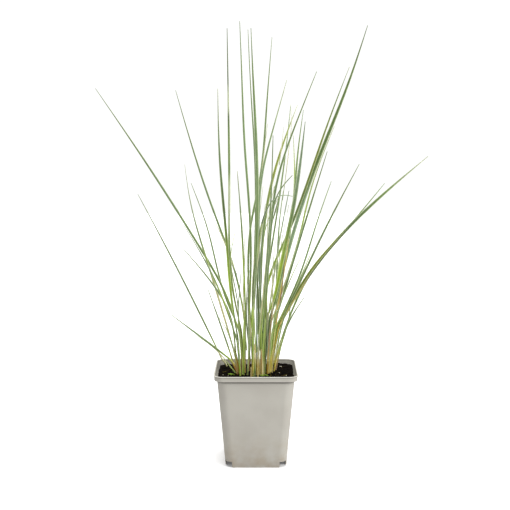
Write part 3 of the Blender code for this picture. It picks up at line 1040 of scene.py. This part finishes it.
def tinted_bmesh():
    """An empty bmesh with the layers that the blade materials read."""
    bm = bmesh.new()
    bm.verts.layers.float_color.new("tint")
    bm.verts.layers.float.new("share")
    bm.loops.layers.uv.new("blade")
    return bm


def set_tints(bm, tints):
    """Store one colour for each vertex."""
    layer = bm.verts.layers.float_color["tint"]
    for vert, tint in tints.items():
        vert[layer] = tint


def shoot_at(node, heights):
    """Centre and radius of a shoot at the given heights."""
    rings = shoot_poses[node]
    levels = np.array([centre.z for centre, _ in rings])
    rows = [[*centre, radius] for centre, radius in rings]
    return smooth_through(rows, levels, np.array(heights))


print("colours at the foot:", sorted(set(FOOT_TONES)))

# %% Build the shoots
CORE_AT_FOOT = 0.42  # the core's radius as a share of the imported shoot's
CORE_GAIN = 0.20
CORE_SIDES = 20
CORE_ROWS = 26
CORE_FADE = 24 * MM


def build_shoot(node, foot):
    low, high = shoot_poses[node][0][0].z, shoot_poses[node][-1][0].z
    heights = np.linspace(low - 3 * MM, high, CORE_ROWS)
    rows = shoot_at(node, heights)
    bm = tinted_bmesh()
    angles = np.linspace(0, 2 * math.pi, CORE_SIDES, endpoint=False)
    ways = [Vector((math.cos(angle), 0.9 * math.sin(angle), 0.0)) for angle in angles]
    ring_places = []
    for level, row in enumerate(rows):
        radius = (CORE_AT_FOOT + CORE_GAIN * level / len(rows)) * float(row[3])
        ring_places.append([Vector(row[:3]) + radius * way for way in ways])
    made = extrude_through(bm, ring_places)
    tints = {}
    for height, ring in zip(heights, made):
        colour = foot_mix(TONES["fresh"], height - SOIL_LEVEL, foot, CORE_FADE)
        tints |= {vert: colour for vert in ring}
    set_tints(bm, tints)
    uv = bm.loops.layers.uv["blade"]
    for face in bm.faces:
        for loop in face.loops:
            side = loop.vert.co - Vector(rows[len(rows) // 2][:3])
            loop[uv].uv = (0.5 + math.atan2(side.y, side.x) / math.tau, loop.vert.co.z / 0.1)
    bmesh.ops.recalc_face_normals(bm, faces=bm.faces)
    return make_piece(node + "_core", bm, sheath_skin, [node], 50)


for number, node in enumerate(shoot_nodes):
    build_shoot(node, FOOT_TONES[number % len(FOOT_TONES)])
print("shoots:", len(shoot_nodes))

# %% [markdown]
# ## Leaves
# A grass leaf has two parts. The lower part is rolled into a slim stem and opens at the collar.
# The blade above it is a long strip with a shallow channel and a fine point. Both are one grid
# here: each row of the grid is an arc, and the arc opens from almost a full circle to a gentle
# curve. Solidify then gives the leaf its real thickness. The stems of one shoot stand close
# together in the peat and spread side by side towards their collars.

# %% Leaf shape
ACROSS = 12
SHEATH_ROWS = 6
BLADE_ROWS = 22
ROWS = 84
LEAF_THICKNESS = 0.22 * MM
STEM_RADIUS = 0.56 * MM
STEM_SPACING = 1.35 * MM
STEM_ROLL = (155, 110)  # half angles of the arc in degrees, at the foot and at the collar
BLADE_ROLL = (34, 18)  # the same at the blade's start and at its tip
BLADE_START = 9 * MM


def heading_at(path, index):
    """The direction in which a row of places runs, at one of them."""
    behind, before = path[max(index - 1, 0)], path[min(index + 1, len(path) - 1)]
    return Vector(before[:3] - behind[:3]).normalized()


def leaf_controls(node, shoot, rank, count):
    """Rows of keel place, direction across, arc radius and half angle, from the sheath to the tip."""
    places, acrosses, widths = leaf_poses[node]
    lengths = run_lengths(places)
    first = min(BLADE_START, 0.2 * lengths[-1])
    wanted = first + (lengths[-1] - first) * np.linspace(0, 1, BLADE_ROWS) ** 1.25
    known = [[*place, *across, width] for place, across, width in zip(places, acrosses, widths)]
    blade = smooth_through(known, lengths, wanted)
    along = Vector(blade[1][:3] - blade[0][:3]).normalized()
    inward = Vector(blade[0][3:6]).cross(along)
    turn = 1 if inward.y * (-1) ** rank > 0 else -1
    inward = turn * Vector((inward.x, inward.y, 0)).normalized()
    low, high = shoot_poses[shoot][0][0].z, shoot_poses[shoot][-1][0].z
    bottom = low - 1.5 * MM
    aside = STEM_SPACING * (rank - (count - 1) / 2)
    rows = []
    for share in np.linspace(0, 1, SHEATH_ROWS):
        x, y, z, radius = shoot_at(shoot, [bottom + share * (high - 1 * MM - bottom)])[0].tolist()
        if count > 1:
            x += (0.15 + 0.85 * share) * aside
            y += (-0.75 if rank % 2 == 0 else 0.2) * radius
            radius = STEM_RADIUS
        else:
            radius = 1.1 * STEM_RADIUS
        keel = Vector((x, y, z)) - radius * inward
        half_angle = math.radians(STEM_ROLL[0] - (STEM_ROLL[0] - STEM_ROLL[1]) * share)
        rows.append([*keel, *Vector((0, 0, 1)).cross(inward), radius, half_angle])
    for index, row in enumerate(blade):
        share = index / (BLADE_ROWS - 1)
        half_angle = math.radians(BLADE_ROLL[0] - (BLADE_ROLL[0] - BLADE_ROLL[1]) * share)
        ahead = heading_at(blade, index)
        across = turn * Vector(row[3:6])
        radius = float(row[6]) / 2 / math.sin(half_angle)
        keel = Vector(row[:3]) - 0.5 * radius * (1 - math.cos(half_angle)) * across.cross(ahead)
        rows.append([*keel, *across, radius, half_angle])
    return rows


print("stem radius in mm:", round(STEM_RADIUS / MM, 2))

# %% [markdown]
# ## From rows to a leaf
# The rows only say where the leaf runs. A flat grid is made first, with one row of points for each
# station along the path. Every row is then rolled into its arc, and the grid keeps the share of
# the length at each point, so that colours can follow the leaf.


# %% Bend a grid along a path
def curl_grid(rows, count, stations, thickness):
    """A grid whose rows are arcs along a path. Returns the bmesh and each vertex's share of the path."""
    lengths = run_lengths([row[:3] for row in rows])
    path = smooth_through(rows, lengths, np.linspace(0, lengths[-1], stations))
    bm = tinted_bmesh()
    uv, shares = bm.loops.layers.uv["blade"], bm.verts.layers.float["share"]
    bmesh.ops.create_grid(bm, x_segments=count, y_segments=stations - 1, size=0.5)
    spots = {vert: (vert.co.x + 0.5, vert.co.y + 0.5) for vert in bm.verts}
    for face in bm.faces:
        for loop in face.loops:
            loop[uv].uv = (spots[loop.vert][0], spots[loop.vert][1] * lengths[-1] / 0.1)
    for vert, (across_share, share) in spots.items():
        index = round(share * (stations - 1))
        ahead = heading_at(path, index)
        across = Vector(path[index][3:6])
        across = (across - across.dot(ahead) * ahead).normalized()
        radius, half_angle = float(path[index][6]), float(path[index][7])
        angle = (2 * across_share - 1) * half_angle
        sweep = math.sin(angle) * across + (1 - math.cos(angle)) * across.cross(ahead)
        vert.co = Vector(path[index][:3]) + radius * sweep
        vert[shares] = share
    bmesh.ops.recalc_face_normals(bm, faces=bm.faces)
    bmesh.ops.solidify(bm, geom=bm.faces, thickness=thickness)
    return bm


print("points along a leaf:", ROWS)


# %% Build the leaves
def shoot_of(node):
    """The shoot whose collar is nearest to a leaf's base."""
    base = leaf_poses[node][0][0]
    return min(shoot_nodes, key=lambda shoot: (shoot_poses[shoot][-1][0] - base).length)


def leaf_shares(rows):
    """Where the blade starts, as a share of the whole leaf."""
    lengths = run_lengths([row[:3] for row in rows])
    return lengths[SHEATH_ROWS] / lengths[-1]


SLOTS = {subpart["node"]: subpart["material_slot"] for subpart in frame["record"]["subparts"]}


def build_leaf(node, shoot, rank, count):
    rows = leaf_controls(node, shoot, rank, count)
    start = leaf_shares(rows)
    bm = curl_grid(rows, ACROSS, ROWS, LEAF_THICKNESS)
    shares = bm.verts.layers.float["share"]
    stops = LEAF_TONES.get(node, USUAL)
    foot = chance.choice(FOOT_TONES)
    reach = chance.uniform(14, 34) * MM
    tints = {}
    for vert in bm.verts:
        colour = tone_at(stops, (vert[shares] - start) / (1 - start))
        tints[vert] = foot_mix(colour, vert.co.z - SOIL_LEVEL, foot, reach)
    set_tints(bm, tints)
    slot = SLOTS[node]
    material = dry_blade if slot == "dry_leaf" else green_blade
    return make_piece(node + "_blade", bm, material, [node], 70)


leaf_groups = {shoot: [node for node in leaf_nodes if shoot_of(node) == shoot] for shoot in shoot_nodes}
for shoot, group in leaf_groups.items():
    for rank, node in enumerate(group):
        build_leaf(node, shoot, rank, len(group))
print("leaves on each shoot:", [len(group) for group in leaf_groups.values()])

# %% [markdown]
# ## Young threads, dead strips and stubs
# A clump also holds growth too fine to pack as solids: pale threads of new leaves, dry strips of
# last year's leaves, and short stubs. Each one follows a few places on its length. They use the same
# grid as the leaves, only narrower: a thread is nearly flat, and a stem is rolled almost closed.

# %% Loose growth
THREAD, YOUNG, STEM = 40, 70, 140  # how far the strip is rolled up, in degrees
DRY_MIXES = ("dead", "bleached")
LOOSE_ROWS = 14
LOOSE_THICKNESS = 0.2 * MM
LOOSE_FADE = 16 * MM
MIXES = {
    "pale": stops("grey 0, straw 40, pale 100"),
    "wisp": stops("fresh 0, straw 30, pale 80, pale 100"),
    "young": stops("fresh 0, green 50, fresh 100"),
    "lime": stops("gold 0, lime 30, lime 80, fresh 100"),
    "dark": stops("green 0, dark 40, dark 80, green 100"),
    "dead": stops("tan 0, rust 40, brown 70, rust 100"),
    "beige": stops("gold 0, straw 40, straw 100"),
    "bleached": stops("brown 0, straw 40, pale 100"),
    "tan": stops("tan 0, gold 50, tan 100"),
    "orange": stops("tan 0, orange 60, tan 100"),
    "green": stops("gold 0, fresh 25, green 60, green 100"),
}
print("mixes:", len(MIXES))

# %% Places of the loose growth
LOOSE = [  # places in millimetres from foot to tip, width, roll, mix
    ([(30, 38, 284), (37, 44, 340), (40, 46, 371), (39, 48, 392)], 0.9, THREAD, "pale"),
    ([(3, 18, 268), (7, 28, 318), (10, 32, 345), (13, 34, 369)], 1.0, THREAD, "pale"),
    ([(26, 38, 323), (30, 40, 354), (31, 40, 366)], 0.9, THREAD, "pale"),
    ([(14, -6, 110), (20, -6, 153), (31, -8, 185), (40, -10, 207), (49, -12, 226)], 1.4, THREAD, "young"),
    ([(20, 8, 105), (33, 4, 163), (44, 0, 190), (54, -3, 215), (60, -4, 229)], 1.6, THREAD, "young"),
    ([(-21, 10, 203), (-33, 16, 234), (-44, 22, 258), (-50, 24, 269)], 1.0, THREAD, "pale"),
    ([(-16, 2, 120), (-20, 4, 172), (-27, 5, 228), (-23, 4, 249)], 1.2, THREAD, "young"),
    ([(-15, -7, 96), (-16, -8, 121), (-19, -12, 159), (-16, -16, 208)], 1.3, YOUNG, "green"),
    ([(-22, -6, 97), (-43, -10, 123), (-55, -11, 133), (-65, -12, 140)], 1.0, THREAD, "pale"),
    ([(-19, -6, 97), (-27, -10, 132), (-34, -13, 151), (-41, -14, 161)], 1.0, THREAD, "young"),
    ([(22, 8, 97), (28, 6, 125), (35, 2, 151), (39, -2, 180)], 1.4, THREAD, "green"),
    ([(16, -4, 97), (22, -6, 119), (28, -8, 134)], 1.2, THREAD, "pale"),
    ([(14, 8, 236), (18, 10, 262), (21, 11, 271), (25, 12, 288)], 1.5, THREAD, "dark"),
    ([(-7, -14, 130), (-8, -15, 168), (-8, -17, 197), (-7, -18, 211)], 1.4, THREAD, "dark"),
    ([(13, -7, 110), (16, -9, 151), (18, -10, 169)], 1.5, THREAD, "dead"),
    ([(22, -3, 150), (28, -6, 188), (31, -8, 219)], 1.3, THREAD, "dead"),
    ([(-3, -8, 97), (-4, -9, 115), (-5, -11, 138), (-7, -12, 162)], 1.6, YOUNG, "beige"),
    ([(3, -9, 96), (3, -10, 116), (3, -11, 131)], 2.2, YOUNG, "bleached"),
    ([(6, -8, 94), (6, -9, 112), (6, -9, 124)], 1.7, STEM, "orange"),
    ([(-5, -16, 94), (-5, -16, 106)], 1.4, STEM, "tan"),
    ([(2, -18, 94), (2, -18, 105)], 1.4, STEM, "tan"),
    ([(-14, -9, 96), (-13, -10, 123), (-13, -12, 142), (-12, -14, 168)], 2.0, YOUNG, "lime"),
    ([(8, -8, 96), (8, -9, 125), (9, -10, 140), (10, -11, 158)], 1.8, YOUNG, "lime"),
    ([(-4, -10, 120), (-3, -12, 159), (-3, -14, 195), (-1, -15, 226)], 2.0, YOUNG, "dark"),
    ([(3, -8, 140), (3, -8, 165), (2, -8, 189), (1, -8, 212)], 2.0, YOUNG, "dark"),
    ([(23, -4, 166), (32, 2, 215), (36, 2, 244)], 1.6, THREAD, "tan"),
    ([(-9, -11, 96), (-8, -12, 121), (-8, -14, 146), (-9, -16, 182)], 1.5, STEM, "green"),
    ([(-2, -13, 94), (-1, -14, 112), (-1, -14, 131)], 1.8, STEM, "tan"),
    ([(9, -4, 96), (11, -4, 118), (12, -6, 144), (12, -8, 184)], 1.4, STEM, "dark"),
    ([(14, -6, 97), (15, -6, 118), (16, -7, 140)], 1.3, STEM, "green"),
    ([(18, 0, 96), (19, 0, 120), (21, 0, 145)], 1.3, STEM, "tan"),
    ([(-17, -4, 96), (-18, -4, 112), (-19, -4, 130)], 1.3, STEM, "green"),
    ([(-20, -6, 96), (-22, -6, 108), (-24, -6, 123)], 1.4, STEM, "tan"),
    ([(-4, 0, 120), (-2, -8, 180), (4, -14, 235), (10, -18, 282)], 1.0, THREAD, "wisp"),
    ([(2, -6, 120), (8, -14, 190), (12, -20, 240), (12, -26, 280)], 1.0, THREAD, "wisp"),
    ([(6, -4, 120), (6, -10, 200), (12, -20, 262), (24, -30, 290)], 1.1, THREAD, "young"),
    ([(-2, 4, 120), (-4, 8, 190), (2, 14, 250), (8, 22, 300)], 1.0, THREAD, "wisp"),
    ([(10, 0, 120), (16, -6, 180), (24, -10, 230), (28, -14, 262)], 1.0, THREAD, "wisp"),
    ([(0, -10, 120), (-2, -20, 180), (2, -30, 230), (6, -40, 262)], 1.2, THREAD, "young"),
    ([(12, 4, 120), (22, 6, 190), (30, 10, 250), (36, 12, 280)], 1.0, THREAD, "wisp"),
    ([(-10, 2, 120), (-14, 4, 180), (-12, 8, 230), (-14, 12, 262)], 1.0, THREAD, "wisp"),
    ([(8, 6, 130), (12, 16, 220), (16, 24, 280), (24, 30, 310)], 1.0, THREAD, "wisp"),
    ([(-6, -8, 110), (-10, -16, 160), (-9, -22, 205)], 1.4, THREAD, "dark"),
    ([(14, -2, 120), (18, -10, 170), (18, -16, 215), (22, -20, 250)], 1.1, THREAD, "wisp"),
    ([(4, 2, 120), (10, 4, 200), (18, 10, 262), (20, 14, 300)], 1.3, THREAD, "dark"),
]


print("loose pieces to make:", len(LOOSE))


# %% Build the loose growth
def loose_rows(places, width, roll):
    """Rows for a free strip that keeps its width and then narrows towards its tip."""
    places = np.array(places) * MM
    lengths = run_lengths(places)
    path = smooth_through(places, lengths, np.linspace(0, lengths[-1], LOOSE_ROWS))
    rows = []
    for index, place in enumerate(path):
        across = Vector((0, 1, 0)).cross(heading_at(path, index)).normalized()
        half = width * MM / 2 * (1 - 0.7 * (index / (LOOSE_ROWS - 1)) ** 3)
        rows.append([*place, *across, half / math.sin(math.radians(min(roll, 90))), math.radians(roll)])
    return rows


for number, (places, width, roll, mix) in enumerate(LOOSE):
    bm = curl_grid(loose_rows(places, width, roll), 8, 40, LOOSE_THICKNESS)
    shares = bm.verts.layers.float["share"]
    foot = chance.choice(FOOT_TONES)
    colours = {vert: tone_at(MIXES[mix], vert[shares]) for vert in bm.verts}
    set_tints(bm, {v: foot_mix(c, v.co.z - SOIL_LEVEL, foot, LOOSE_FADE) for v, c in colours.items()})
    skin, slot = (dry_blade, "dry_leaf") if mix in DRY_MIXES else (green_blade, "green_leaf")
    make_piece(f"loose_{number + 1:02d}", bm, skin)
print("loose pieces:", len(LOOSE))
